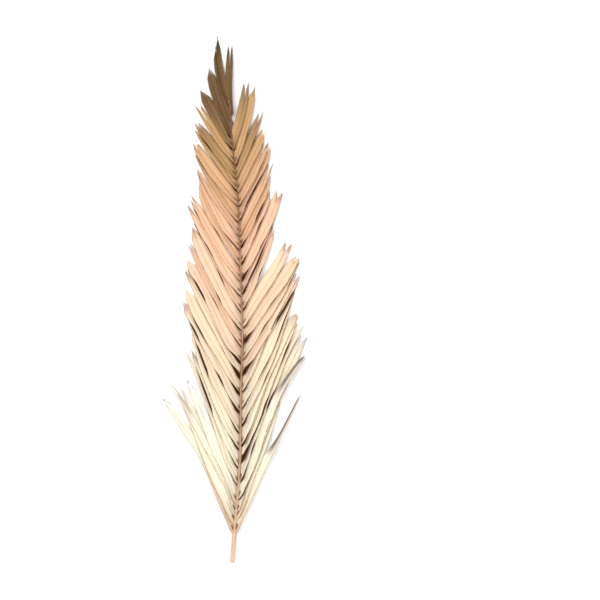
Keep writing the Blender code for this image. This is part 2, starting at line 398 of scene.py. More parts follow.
    def plain_lowest(self) -> float:
        """Finds the lowest point of the blade's plain form.

        Returns:
            Its height.
        """
        rule = self.rule
        depth = self.stalk.at(self.leaflet.root + rule.root_points[-1][0])[3]
        heights = [point.z - rule.root_thickness * depth for point in self.root_face()]
        faces = []
        for k in range(1, rule.plain_sections + 1):
            share = self.full_share * (k / rule.plain_sections) ** rule.plain_crowding
            faces.append((share, self.face(share, self.reach(share), self.slanted(share))))
        faces.append((1.0, self.face(1.0, self.end_reach, self.leaflet.ending[:3])))
        for share, face in faces:
            fold = math.radians(between(rule.fold, share)[0])
            drop = rule.plain_thickness / math.cos(fold) * self.frame(share).above.z
            heights += [min(point.z, point.z - drop) for point in face]
        return min(heights)


def settled(leaflet: Leaflet, clearance: float, stalk: StalkForm, rule: BladeRule) -> Leaflet:
    """The leaflet with its tip moved up or down until its lowest point clears the floor.

    Args:
        leaflet: The leaflet, its tip at any height.
        clearance: How far its lowest point ends above the floor.
        stalk: The stalk that it is rooted in.
        rule: How its blade runs.

    Returns:
        The leaflet at its height.
    """
    for _ in range(rule.settling_steps):
        lowest = Blade(leaflet, stalk, rule).plain_lowest()
        leaflet = leaflet._replace(tip_height=leaflet.tip_height + clearance - lowest)
    return leaflet


@dataclass(frozen=True)
class LeafletRule:
    """Where leaflets are rooted and end, and how far each may stray from that.

    A tip station is the root along the stalk, then the tip's distance along, its distance out
    from the frond's middle line, and the outward turn of its end.
    """

    left_tips: tuple[Row, ...] = (
        (0.084, 0.350, 0.114, 0.02), (0.116, 0.352, 0.098, 0.02),
        (0.150, 0.420, 0.108, 0.04), (0.200, 0.430, 0.088, 0.00),
        (0.238, 0.476, 0.098, -0.04), (0.276, 0.502, 0.114, 0.02),
        (0.340, 0.552, 0.104, -0.04), (0.408, 0.616, 0.104, -0.06),
        (0.480, 0.670, 0.102, -0.06), (0.544, 0.722, 0.096, -0.06),
        (0.624, 0.768, 0.086, -0.06), (0.682, 0.808, 0.086, -0.06),
        (0.752, 0.860, 0.084, -0.06), (0.812, 0.926, 0.090, -0.06),
        (0.838, 0.960, 0.072, -0.06), (0.862, 0.994, 0.060, -0.06),
        (0.886, 1.022, 0.050, -0.06), (0.914, 1.046, 0.044, -0.06),
    )
    right_tips: tuple[Row, ...] = (
        (0.092, 0.350, 0.086, 0.02), (0.140, 0.470, 0.134, 0.16),
        (0.184, 0.490, 0.122, 0.14), (0.244, 0.500, 0.108, 0.06),
        (0.304, 0.530, 0.106, 0.02), (0.362, 0.572, 0.114, 0.06),
        (0.442, 0.606, 0.118, 0.06), (0.480, 0.640, 0.090, 0.00),
        (0.516, 0.680, 0.082, -0.06), (0.546, 0.742, 0.088, -0.06),
        (0.606, 0.752, 0.062, -0.06), (0.642, 0.788, 0.062, -0.06),
        (0.704, 0.832, 0.052, -0.06), (0.772, 0.888, 0.038, -0.06),
        (0.812, 0.958, 0.024, -0.06), (0.840, 0.974, 0.004, -0.06),
    )
    last_left: float = 0.920
    last_right: float = 0.852
    low_spacing: float = 0.038
    high_spacing: float = 0.026
    half_widths: Profile = ((0.0, 0.0118), (0.30, 0.0122), (0.85, 0.0108), (0.93, 0.0062))
    endings: tuple[Ending, ...] = (
        POINTED, POINTED, POINTED, FORKED, FORKED, SLANTED_OUT, SLANTED_IN, BLUNT,
    )
    strays: tuple[Leaflet, ...] = (
        Leaflet(Side.LEFT, 0.064, 0.328, 0.154, 0.0104, 0.30, 0.00, POINTED, turn=0.30, pinch=0.8),
        Leaflet(Side.LEFT, 0.104, 0.364, 0.148, 0.0076, 0.26, 0.05, POINTED, turn=0.30, pinch=0.7),
        Leaflet(Side.RIGHT, 0.066, 0.342, 0.122, 0.0116, 0.0, 0.10, POINTED, lead=-0.2, pinch=0.4),
        Leaflet(Side.RIGHT, 0.104, 0.412, 0.132, 0.0108, 0.58, 0.05, BLUNT, 0.08, 0.17, 0.6),
        Leaflet(Side.RIGHT, 0.902, 1.034, -0.020, 0.0085, 0.02, 0.00, FORKED),
    )
    resting_along: Row = (0.34, 0.70)
    seed: int = 101
    root_jitter: float = 0.0035
    along_jitter: float = 0.010
    out_jitter: float = 0.007
    width_jitter: float = 0.22
    clearances: Pair = (0.0, 0.0015)
    bow_jitter: float = 0.09
    twist_jitter: float = 0.16

    def tips(self, side: Side) -> tuple[Row, ...]:
        """The tip stations of one side."""
        return self.left_tips if side is Side.LEFT else self.right_tips

    def roots(self, side: Side) -> Iterator[float]:
        """Roots along one side, closer together towards the tip of the frond.

        Args:
            side: Which side of the stalk.

        Returns:
            The roots, from the cut end up.
        """
        first = self.tips(side)[0][0]
        last = self.last_left if side is Side.LEFT else self.last_right
        root = first
        while root < last:
            yield root
            share = (root - first) / (last - first)
            root += mixed(self.low_spacing, self.high_spacing, share)

    def along(
        self, side: Side, draw: random.Random, stalk: StalkForm, blade: BladeRule
    ) -> Iterator[Leaflet]:
        """The leaflets along one side, each a little off the rule.

        Args:
            side: Which side of the stalk.
            draw: The seeded draw that both sides share.
            stalk: The stalk that they are rooted in.
            blade: How their blades run.

        Returns:
            The leaflets, from the cut end up, at their heights.
        """

        def near(value: float, jitter: float) -> float:
            """A value that has strayed a little."""
            return value + draw.uniform(-jitter, jitter)

        roots = list(self.roots(side))
        resting = [min(roots, key=lambda root: abs(root - spot)) for spot in self.resting_along]
        for root in roots:
            tip_along, tip_out, bow = between(self.tips(side), root)
            leaflet = Leaflet(
                side,
                near(root, self.root_jitter),
                near(tip_along, self.along_jitter),
                near(tip_out, self.out_jitter),
                between(self.half_widths, root)[0] * near(1.0, self.width_jitter),
                near(bow, self.bow_jitter),
                near(0.0, self.twist_jitter),
                draw.choice(self.endings),
            )
            clearance = draw.uniform(*self.clearances)
            yield settled(leaflet, 0.0 if root in resting else clearance, stalk, blade)

    def all(self, stalk: StalkForm, blade: BladeRule) -> list[Leaflet]:
        """Every leaflet of the frond.

        Args:
            stalk: The stalk that they are rooted in.
            blade: How their blades run.

        Returns:
            The leaflets at their heights, the strays last.
        """
        draw = random.Random(self.seed)
        leaflets = [leaf for side in Side for leaf in self.along(side, draw, stalk, blade)]
        strays = [settled(stray, self.clearances[1], stalk, blade) for stray in self.strays]
        return leaflets + strays


class NodeDraft:
    """A node tree that is built up node by node."""

    tree: bpy.types.NodeTree

    def feed(self, socket: Socket, value: object) -> None:
        """Links a socket to an output, or sets it to a value.

        Args:
            socket: The node's input.
            value: The output or the value.
        """
        if isinstance(value, Socket):
            self.tree.links.new(value, socket)
        else:
            socket.default_value = value

    def node(
        self, kind: str, inputs: dict[str, object] | None = None, **values: object
    ) -> bpy.types.Node:
        """A node with its properties and inputs set.

        Args:
            kind: The node's Blender type.
            inputs: Values or outputs by socket identifier.
            values: Properties by name.

        Returns:
            The node.
        """
        node = self.tree.nodes.new(kind)
        for name, value in values.items():
            setattr(node, name, value)
        by_identifier = {socket.identifier: socket for socket in node.inputs}
        for name, value in (inputs or {}).items():
            self.feed(by_identifier[name], value)
        return node

    def math(self, operation: str, *values: object, clamp: bool = False) -> Socket:
        """One sum on numbers.

        Args:
            operation: The Math node's operation.
            values: Its inputs in order.
            clamp: Whether it is kept from 0 to 1.

        Returns:
            The result.
        """
        inputs = dict(zip(("Value", "Value_001", "Value_002"), values))
        node = self.node("ShaderNodeMath", inputs, operation=operation, use_clamp=clamp)
        return node.outputs[0]

    def times(self, *values: object) -> Socket:
        """The product of numbers."""
        return reduce(lambda a, b: self.math("MULTIPLY", a, b), values)

    def weighed(self, start: float, *parts: tuple[Socket, float]) -> Socket:
        """A number with others added to it, each times its weight."""
        return reduce(lambda total, part: self.math("MULTIPLY_ADD", *part, total), parts, start)


class Band(NamedTuple):
    """A soft step on a number: where it starts and is full, and what it gives from there on and
    before it."""

    start: float
    full: float
    most: float = 1.0
    least: float = 0.0


class Grain(NamedTuple):
    """A streaky pattern: its name, how many grains there are to one unit along each of its
    coordinates, and how fine it is."""

    name: str
    stretch: Row
    detail: float


class Tint(NamedTuple):
    """A colour, and the bands of numbers, by name, that let it through."""

    colour: Colour
    bands: dict[str, Band]


class Shader(NodeDraft):
    """A material's node tree, built from its patterns to its surface."""

    def __init__(self, name: str) -> None:
        """Starts a material with a Principled BSDF.

        Args:
            name: The material's name.
        """
        self.material = bpy.data.materials.new(name)
        self.material.use_nodes = True
        self.tree = self.material.node_tree
        self.surface = self.tree.nodes["Principled BSDF"].inputs
        self.place = self.node("ShaderNodeTexCoord").outputs["Object"]
        self.base: Socket | None = None

    def attribute(self, name: str) -> Socket:
        """A number that the mesh carries at each point."""
        return self.node("ShaderNodeAttribute", attribute_name=name).outputs["Fac"]

    def along(self) -> Socket:
        """The place along the frond, as a share of its length."""
        split = self.node("ShaderNodeSeparateXYZ", {"Vector": self.place})
        return self.math("DIVIDE", self.math("ADD", split.outputs["Y"], REST_ALONG), FROND_LENGTH)

    def level(self, number: Socket, band: Band) -> Socket:
        """A soft step on a number."""
        inputs = dict(zip(("Value", "From Min", "From Max", "To Max", "To Min"), (number, *band)))
        return self.node("ShaderNodeMapRange", inputs, interpolation_type="SMOOTHSTEP").outputs[0]

    def streaks(self, where: Socket, grain: Grain) -> Socket:
        """A streaky pattern.

        Args:
            where: The coordinates that it follows.
            grain: How it is drawn out along them.

        Returns:
            A number about 0.5.
        """
        stretched = self.node("ShaderNodeMapping", {"Vector": where, "Scale": grain.stretch})
        inputs = {"Vector": stretched.outputs["Vector"], "Scale": 1.0, "Detail": grain.detail}
        return self.node("ShaderNodeTexNoise", inputs).outputs["Fac"]

    def ramp(self, share: Socket, stops: Stops) -> None:
        """Starts the colour with colours that follow a number.

        Args:
            share: The number.
            stops: Its places and their colours, in order.
        """
        node = self.node("ShaderNodeValToRGB", {"Fac": share})
        elements = node.color_ramp.elements
        while len(elements) < len(stops):
            elements.new(1.0)
        for element, (place, colour) in zip(elements, stops):
            element.position = place
            element.color = (*colour, 1.0)
        self.base = node.outputs["Color"]

    def blend(self, share: object, colour: Colour) -> None:
        """Mixes a share of another colour into the colour so far."""
        inputs = {"Factor_Float": share, "A_Color": self.base, "B_Color": (*colour, 1.0)}
        self.base = self.node("ShaderNodeMix", inputs, data_type="RGBA").outputs[2]

    def tint(self, tint: Tint, numbers: Numbers) -> None:
        """Mixes another colour in as far as every number's band lets it through."""
        levels = [self.level(numbers[name], band) for name, band in tint.bands.items()]
        self.blend(self.times(*levels), tint.colour)

    def relief(self, pattern: Socket, height: float, strength: float) -> None:
        """Raises the surface by a pattern, by a height in metres."""
        inputs = {"Height": pattern, "Distance": height, "Strength": strength}
        self.feed(self.surface["Normal"], self.node("ShaderNodeBump", inputs).outputs["Normal"])


@dataclass(frozen=True)
class Finish:
    """A dried finish: colours along a number, others mixed in by bands of numbers, and a grain
    that the roughness follows and the relief rises by."""

    name: str
    follows: str
    stops: Stops
    tints: tuple[Tint, ...]
    grains: tuple[Grain, ...]
    grain: str
    roughness: Pair
    relief_height: float
    relief_strength: float

    def numbers(self, shader: Shader) -> Numbers:
        """The numbers that the colours follow, by name."""
        return {grain.name: shader.streaks(shader.place, grain) for grain in self.grains}

    def last_touch(self, shader: Shader, numbers: Numbers) -> Socket:
        """What comes over the colours, and the pattern that the relief rises by."""
        return numbers[self.grain]

    def material(self) -> Material:
        """Builds the finish's tree.

        Returns:
            Its material.
        """
        shader = Shader(self.name)
        numbers = self.numbers(shader)
        shader.ramp(numbers[self.follows], self.stops)
        for tint in self.tints:
            shader.tint(tint, numbers)
        pattern = self.last_touch(shader, numbers)
        smooth, rough = self.roughness
        shader.feed(shader.surface["Base Color"], shader.base)
        shader.feed(shader.surface["Roughness"],
                    shader.weighed(smooth, (numbers[self.grain], rough - smooth)))
        shader.relief(pattern, self.relief_height, self.relief_strength)
        return shader.material


CREAM = (0.92, 0.90, 0.72)
PALE = (0.88, 0.72, 0.52)
PINK = (0.83, 0.50, 0.33)
GOLD = (0.52, 0.305, 0.130)
OLIVE = (0.120, 0.060, 0.018)
# Dark brown used both for real stains and streaks and for painted shade on the leaflets.
STAIN_AND_SHADE = (0.13, 0.055, 0.022)
MAUVE = (0.72, 0.50, 0.42)
CORAL = (0.72, 0.38, 0.21)
SLATE = (0.080, 0.066, 0.050)
LILAC = (0.50, 0.41, 0.40)
CROWN = (0.040, 0.030, 0.010)


@dataclass(frozen=True)
class DriedLeafFinish(Finish):
    """Dried leaf: pale cream at the cut end, pinkish straw in the middle and brown at the tip,
    the paleness low down partly its own colour and partly painted light, with fine lengthwise
    fibres, painted shade towards the roots, browned tips and, between the leaflets, painted
    shade in the slits."""

    name: str = "dried_leaf"
    follows: str = "place"
    # Paler towards the cut end: partly the leaf's own bleaching, partly painted light standing for
    # the stronger light on the lower leaflets.
    stops: Stops = (
        (0.16, CREAM), (0.34, PALE), (0.56, PINK), (0.78, GOLD), (0.865, OLIVE),
    )
    tints: tuple[Tint, ...] = (
        Tint(MAUVE, {"fading": Band(0.45, 0.95), "place": Band(0.86, 0.60, 0.30)}),
        Tint(GOLD, {"coarse": Band(0.48, 0.72, 0.2475)}),
        Tint(CREAM, {"fine": Band(0.50, 0.75, 0.21)}),
        Tint(STAIN_AND_SHADE, {"fine": Band(0.46, 0.30, 0.18)}),
        # Painted shade: darker near the root and more on the inner half, where the steep fold
        # beside the stalk lies in shade.
        Tint(STAIN_AND_SHADE, {"lengthwise": Band(0.30, 0.02), "inwards": Band(0.30, 1.0, 0.78, 0.16)}),
        Tint(LILAC, {"end": Band(0.93, 1.08), "tone": Band(0.62, 0.80)}),
        Tint(STAIN_AND_SHADE, {"end": Band(0.93, 1.08), "tone": Band(0.45, 0.25, 0.7)}),
        Tint(CROWN, {"height": Band(0.945, 0.995, 0.85)}),
        Tint(STAIN_AND_SHADE, {"spots": Band(0.70, 0.78, 0.35)}),
        Tint(LILAC, {"curled": Band(0.05, 0.45, 0.65)}),
        Tint(SLATE, {"inwards": Band(0.42, 0.60), "curled": Band(0.20, 0.42, 0.8)}),
        Tint(CORAL, {"rooted": Band(0.15, 0.06), "lengthwise": Band(0.75, 0.0),
                     "inwards": Band(0.45, 0.05, 0.75)}),
        # A thin dark line along each blade's outer edge: partly the dried margin's own colour,
        # partly painted shade where the edge lies over the next blade.
        Tint(STAIN_AND_SHADE, {"inwards": Band(0.110, 0.0), "coarse": Band(0.30, 0.58, 0.90)}),
    )
    grains: tuple[Grain, ...] = (
        Grain("coarse", (26.0, 1.3, 1.0), 2.0),
        Grain("fine", (150.0, 2.2, 1.0), 3.0),
        Grain("painted_shade_stretches", (0.021, 0.09, 1.0), 1.0),
    )
    grain: str = "fine"
    roughness: Pair = (0.42, 0.68)
    relief_height: float = 0.0006
    relief_strength: float = 0.6
    relief_weight: float = 0.6
    spots: Grain = Grain("spots", (420.0, 420.0, 420.0), 1.0)
    height_weight: float = 0.55
    root_weight: float = 0.45
    tone_weight: float = 0.12
    end_streaks: float = 0.12
    fading_turns: float = 3.7
    # Painted shade in the slits between the leaflets: its colour, and where and how wide it runs.
    slit_shade: Colour = (0.045, 0.010, 0.001)
    slit_shade_stretches: Band = Band(0.48, 0.66, 0.22)
    slit_shade_turns: float = 7.31
    root_slit_shade: Band = Band(0.27, 0.03)
    root_slit_shade_least: float = 0.1664
    root_slit_shade_spread: float = 0.39
    low_slit_shade: Band = Band(0.70, 0.42, 1.0, 0.45)
    slit_shade_ends: Band = Band(1.0, 0.80)
    first_slit_shade: Band = Band(0.09, 0.17)
    slit_shade_softness: float = 0.05
    specular: float = 0.15
    rib_gold: float = 0.0

    def numbers(self, shader: Shader) -> Numbers:
        """The numbers that the colours follow.

        Args:
            shader: The material's tree.

        Returns:
            The numbers by name.
        """
        where = shader.node("ShaderNodeUVMap", uv_map=UV_MAP).outputs["UV"]
        names = ("tone", "lengthwise", "inwards", "rooted", "curled")
        numbers = {name: shader.attribute(name) for name in names}
        numbers |= {grain.name: shader.streaks(where, grain) for grain in self.grains}
        tone, height = numbers["tone"], shader.along()
        parts = ((height, self.height_weight), (numbers["rooted"], self.root_weight),
                 (tone, self.tone_weight))
        ends = (numbers["coarse"], self.end_streaks)
        return {
            **numbers,
            "height": height,
            "place": shader.weighed(-0.5 * self.tone_weight, *parts),
            "end": shader.weighed(numbers["lengthwise"], ends),
            "spots": shader.streaks(shader.place, self.spots),
            "fading": shader.math("FRACT", shader.times(tone, self.fading_turns)),
        }

    def last_touch(self, shader: Shader, numbers: Numbers) -> Socket:
        """The painted shade of the slits and, on ribs, some gold.

        Args:
            shader: The material's tree.
            numbers: The numbers by name.

        Returns:
            The pattern that the relief rises by.
        """
        # Painted shade of the slits between the leaflets, along each blade's outer edge.
        shader.blend(self._painted_slit_shade(shader, numbers), self.slit_shade)
        if self.rib_gold:
            shader.blend(self.rib_gold, GOLD)
        shader.surface["Specular IOR Level"].default_value = self.specular
        weight = self.relief_weight
        return shader.weighed(0.0, (numbers["fine"], weight), (numbers["coarse"], weight))

    def _painted_slit_shade(self, shader: Shader, numbers: Numbers) -> Socket:
        """Painted shade in narrow runs along a leaflet's outer edge, where the gap beside the next
        leaflet lies in shade, widest where it leaves the stalk.

        Args:
            shader: The material's tree.
            numbers: The numbers that they follow, by name.

        Returns:
            How much painted shade, from 0 to 1.
        """
        lengthwise, rooted = numbers["lengthwise"], numbers["rooted"]
        turns = shader.math("FRACT", shader.times(numbers["tone"], self.slit_shade_turns))
        squared = shader.times(turns, turns)
        at_root = shader.times(
            shader.weighed(self.root_slit_shade_least, (squared, self.root_slit_shade_spread)),
            shader.level(lengthwise, self.root_slit_shade),
            shader.level(rooted, self.low_slit_shade),
        )
        along = shader.level(numbers["painted_shade_stretches"], self.slit_shade_stretches)
        width = shader.times(
            shader.math("MAXIMUM", along, at_root),
            shader.level(lengthwise, self.slit_shade_ends),
            shader.level(rooted, self.first_slit_shade),
        )
        inside = shader.math("SUBTRACT", width, numbers["inwards"])
        return shader.math("DIVIDE", inside, self.slit_shade_softness, clamp=True)


@dataclass(frozen=True)
class StalkFinish(Finish):
    """Dried stalk: pinkish tan at the cut end, browner towards the tip, with lengthwise fibres
    and darker flecks."""

    name: str = "dried_stalk"
    follows: str = "height"
    stops: Stops = (
        (0.02, (0.68, 0.43, 0.29)),
        (0.10, (0.557, 0.34, 0.2195)),
        (0.28, (0.352, 0.19, 0.102)),
        (0.55, (0.27, 0.13, 0.055)),
        (0.90, (0.10, 0.045, 0.018)),
    )
    tints: tuple[Tint, ...] = (
        Tint((0.27, 0.13, 0.055), {"fibres": Band(0.50, 0.70, 0.5)}),
        Tint((0.86, 0.66, 0.44), {"fibres": Band(0.46, 0.30, 0.45)}),
        Tint((0.27, 0.13, 0.055), {"patches": Band(0.60, 0.75, 0.4)}),
        Tint((0.10, 0.045, 0.018), {"flank": Band(0.45, 0.85), "height": Band(0.07, 0.14, 0.85)}),
    )
    grains: tuple[Grain, ...] = (
        Grain("fibres", (900.0, 14.0, 900.0), 3.0),
        Grain("patches", (60.0, 30.0, 60.0), 2.0),
    )
    grain: str = "fibres"
    roughness: Pair = (0.45, 0.70)
    relief_height: float = 0.0008
    relief_strength: float = 0.7

    def numbers(self, shader: Shader) -> Numbers:
        """The numbers that the colours follow, by name."""
        own = {"height": shader.along(), "flank": shader.attribute("flank")}
        return {**super().numbers(shader), **own}


@dataclass(frozen=True)
class FootFinish(Finish):
    """The swollen foot of a leaflet: dark brown, dull and wrinkled."""

    name: str = "leaflet_foot"
    follows: str = "patches"
    stops: Stops = (
        (0.35, (0.07, 0.03, 0.012)),
        (0.50, (0.24, 0.11, 0.045)),
        (0.68, (0.50, 0.29, 0.13)),
    )
    tints: tuple[Tint, ...] = (Tint((0.07, 0.03, 0.012), {"wrinkles": Band(0.48, 0.34, 0.6)}),)
    grains: tuple[Grain, ...] = (
        Grain("patches", (240.0, 120.0, 240.0), 3.0),
        Grain("wrinkles", (1400.0, 300.0, 1400.0), 3.0),
    )
    grain: str = "wrinkles"
    roughness: Pair = (0.55, 0.85)
    relief_height: float = 0.0004
    relief_strength: float = 0.8


@dataclass(frozen=True)
class FloorFinish:
    """A plain pale floor."""

    name: str = "pale_floor"
    colour: Colour = (0.93, 0.93, 0.93)
    roughness: float = 0.9
    specular: float = 0.1

    def material(self) -> Material:
        """Builds the floor's tree.

        Returns:
            Its material.
        """
        shader = Shader(self.name)
        shader.surface["Base Color"].default_value = (*self.colour, 1.0)
        shader.surface["Roughness"].default_value = self.roughness
        shader.surface["Specular IOR Level"].default_value = self.specular
        return shader.material


def shown(name: str, data: bpy.types.ID) -> Object:
    """Puts something into the scene, at the origin.

    Args:
        name: The object's name.
        data: Its mesh, light or camera.

    Returns:
        The object.
    """
    thing = bpy.data.objects.new(name, data)
    bpy.context.scene.collection.objects.link(thing)
    return thing


class MeshDraft:
    """Points, edges and faces of a mesh, with the numbers that each point carries."""

    def __init__(self) -> None:
        """Starts an empty draft."""
        self.points: list[Vector] = []
        self.edges: list[tuple[int, int]] = []
        self.faces: list[Sequence[int]] = []
        self.uvs: list[Pair] = []
        self.numbers: dict[str, list[float]] = {}

    def add(self, point: Vector, uv: Pair | None = None, **numbers: float) -> int:
        """One point.

        Args:
            point: Its place.
            uv: Its place on the surface's own map, on a mesh that has one.
            numbers: The numbers that it carries.

        Returns:
            Its index.
        """
        self.points.append(point)
        if uv is not None:
            self.uvs.append(uv)
        for name, value in numbers.items():
            self.numbers.setdefault(name, []).append(value)
        return len(self.points) - 1

    def tube(self, rings: Sequence[Sequence[int]]) -> None:
        """Adds the faces between each ring of points and the next.

        Args:
            rings: The rings, each of as many points.
        """
        for low, high in zip(rings, rings[1:]):
            for i in range(len(low)):
                j = (i + 1) % len(low)
                self.faces.append((low[i], low[j], high[j], high[i]))

    def mesh(self, name: str) -> Mesh:
        """The draft as a mesh, with its numbers and its map.

        Args:
            name: The mesh's name.

        Returns:
            The mesh.
        """
        mesh = bpy.data.meshes.new(name)
        mesh.from_pydata([tuple(point) for point in self.points], self.edges, self.faces)
        if self.uvs:
            layer = mesh.uv_layers.new(name=UV_MAP)
            for loop in mesh.loops:
                layer.data[loop.index].uv = self.uvs[loop.vertex_index]
        for number, values in self.numbers.items():
            mesh.attributes.new(number, "FLOAT", "POINT").data.foreach_set("value", values)
        return mesh

    def piece(self, name: str, finish: Material) -> Object:
        """The draft as a smooth object with its faces outwards.

        Args:
            name: The object's name.
            finish: Its material.

        Returns:
            The object.
        """
        mesh = self.mesh(name)
        bm = bmesh.new()
        bm.from_mesh(mesh)
        bmesh.ops.recalc_face_normals(bm, faces=bm.faces)
        bm.to_mesh(mesh)
        bm.free()
        mesh.materials.append(finish)
        mesh.shade_smooth()
        log.info("%s: %d points", name, len(self.points))
        return shown(name, mesh)


class BladeRow(NamedTuple):
    """A row across a blade: its share along the curve, how far it has left the root, and how far
    it has gone into its end."""

    share: float
    left: float
    end: float


class Slack(NamedTuple):
    """One leaflet's own draws: where its ripples start, and how long and wide it has split."""

    phase: float
    split: float
    gap: float


@dataclass
class Leaflets:
    """The leaflets of one side: thin folded blades that ripple, dry up along their edges and
    split at their tips."""

    name: str
    blades: list[Blade]
    finish: Material
    seed: int
    first_tone: float
    root_rows: int = 7
    body_rows: int = 46
    end_rows: int = 11
    columns: int = 4
    thickness: float = 0.00045
    end_thinning: float = 0.6
    ripple: float = 0.0009
    ripple_length: float = 0.045
    ripple_row: float = 0.6
    half_phase: float = 7.0
    edge_wander: float = 0.05
    edge_row: float = 3.0
    end_taper: float = 1.15
    split_spread: Pair = (0.6, 1.4)
    gap: float = 0.0016
    widest_gap: float = 0.45
    frayed_root: float = 0.13
    frayed_split: float = 0.085
    frayed_gap: float = 0.0024
    raggedness: float = 0.0035
    fold_raggedness: float = 0.3
    sharpening: float = 0.35
    phases: float = 90.0
    uv_scale: float = 100.0
    uv_step: float = 3.0
    tone_step: float = 0.382
    tone_drift: float = 0.35

    def build(self) -> Object:
        """Builds every blade of the side, both halves of each.

        Returns:
            The side's leaflets as one piece.
        """
        draw = random.Random(self.seed)
        draft = MeshDraft()
        for place, blade in enumerate(self.blades):
            drift = self.tone_drift * draw.random()
            blade.tone = (self.first_tone + place * self.tone_step + drift) % 1.0
            slack = self._slack(blade.leaflet, draw)
            for sign in (1.0, -1.0):
                self._add_half(draft, blade, sign, slack, draw)
        return draft.piece(self.name, self.finish)

    def _slack(self, leaf: Leaflet, draw: random.Random) -> Slack:
        """A leaflet's own draws, with the lowest ones on the left frayed further.

        Args:
            leaf: The leaflet.
            draw: The piece's seeded draw.

        Returns:
            The draws.
        """
        phase = draw.uniform(0.0, self.phases)
        split = leaf.ending.split * draw.uniform(*self.split_spread)
        if leaf.side is Side.LEFT and leaf.root < self.frayed_root:
            return Slack(phase, split + self.frayed_split, self.frayed_gap)
        return Slack(phase, split, self.gap)

    def _rows(self, blade: Blade) -> Iterator[BladeRow]:
        """Rows along a blade: in its root, its body and its end.

        Args:
            blade: The blade.

        Returns:
            The rows.
        """
        rule, full = blade.rule, blade.full_share
        first = full * (1 / rule.plain_sections) ** rule.plain_crowding
        for k in range(self.root_rows):
            yield BladeRow(first * k / self.root_rows, k / self.root_rows, 0.0)
        for k in range(self.body_rows):
            yield BladeRow(mixed(first, full, k / self.body_rows), 1.0, 0.0)
        for k in range(self.end_rows + 1):
            yield BladeRow(mixed(full, 1.0, k / self.end_rows), 1.0, k / self.end_rows)

    def _face(self, blade: Blade, row: BladeRow, slack: Slack) -> list[Vector]:
        """Outer edge, fold and inner edge of a row.

        Args:
            blade: The blade.
            row: The row.
            slack: The leaflet's own draws.

        Returns:
            The three points.
        """
        share, left, end = row
        ending = blade.leaflet.ending
        last = blade.end_reach * (self.sharpening if ending is POINTED else 1.0)
        reach = mixed(blade.reach(min(share, blade.full_share)), last, end**self.end_taper)
        along = share * blade.length / self.ripple_length
        wander = noise.noise((along, slack.phase, self.edge_row))
        reach *= 1.0 + self.edge_wander * wander * left
        advances = [mixed(step, goal, end) for step, goal in zip(blade.slanted(share), ending[:3])]
        face = blade.dried_face(share, reach, advances)
        if left < 1.0:
            face = [a.lerp(b, eased(left)) for a, b in zip(blade.root_face(), face)]
        return face

    def _add_half(
        self, draft: MeshDraft, blade: Blade, sign: float, slack: Slack, draw: random.Random
    ) -> None:
        """Adds one half of a leaflet as a closed strip.

        Args:
            draft: The piece's draft.
            blade: The leaflet's run.
            sign: 1 for the outer half, -1 for the inner one.
            slack: The leaflet's own draws.
            draw: The piece's seeded draw.
        """
        shares = [column / self.columns for column in range(self.columns + 1)]
        teeth = [draw.uniform(-self.raggedness, self.raggedness) for _ in shares]
        teeth[0] *= self.fold_raggedness
        rings = []
        for row in self._rows(blade):
            share, left, end = row
            frame = blade.frame(share)
            outer, fold, inner = self._face(blade, row, slack)
            edge = outer if sign > 0.0 else inner
            width = (edge - fold).length
            before_tip = (1.0 - share) * blade.length
            opening = slack.gap * eased(1.0 - before_tip / slack.split)
            opening = min(opening, self.widest_gap * width)
            phase = slack.phase + (0.0 if sign > 0.0 else self.half_phase)
            upper = []
            for t, tooth in zip(shares, teeth):
                spot = (share * blade.length / self.ripple_length, phase, self.ripple_row * t)
                lift = self.ripple * noise.noise(spot) * t + blade.hollowed(width, t)
                point = fold.lerp(edge, t) + sign * opening * (1.0 - t) * frame.across
                point += left * lift * frame.above + end**2 * tooth * frame.along
                upper.append(point)
            under = self.thickness * mixed(1.0, self.end_thinning, end) * frame.above
            lower = [(t, point - under) for t, point in zip(shares, upper)]
            around = [*zip(shares, upper), *reversed(lower)]
            rings.append([
                draft.add(
                    in_place(*point),
                    (sign * t * width * self.uv_scale + slack.phase * self.uv_step,
                     share * blade.length * self.uv_scale),
                    tone=blade.tone,
                    lengthwise=share,
                    inwards=0.5 - 0.5 * sign * t,
                    rooted=blade.rooted,
                    curled=blade.curled(share),
                )
                for t, point in around
            ])
        draft.tube(rings)
        for ring in (rings[0], rings[-1]):
            for i in range(self.columns):
                draft.faces.append((ring[i], ring[i + 1], ring[-2 - i], ring[-1 - i]))


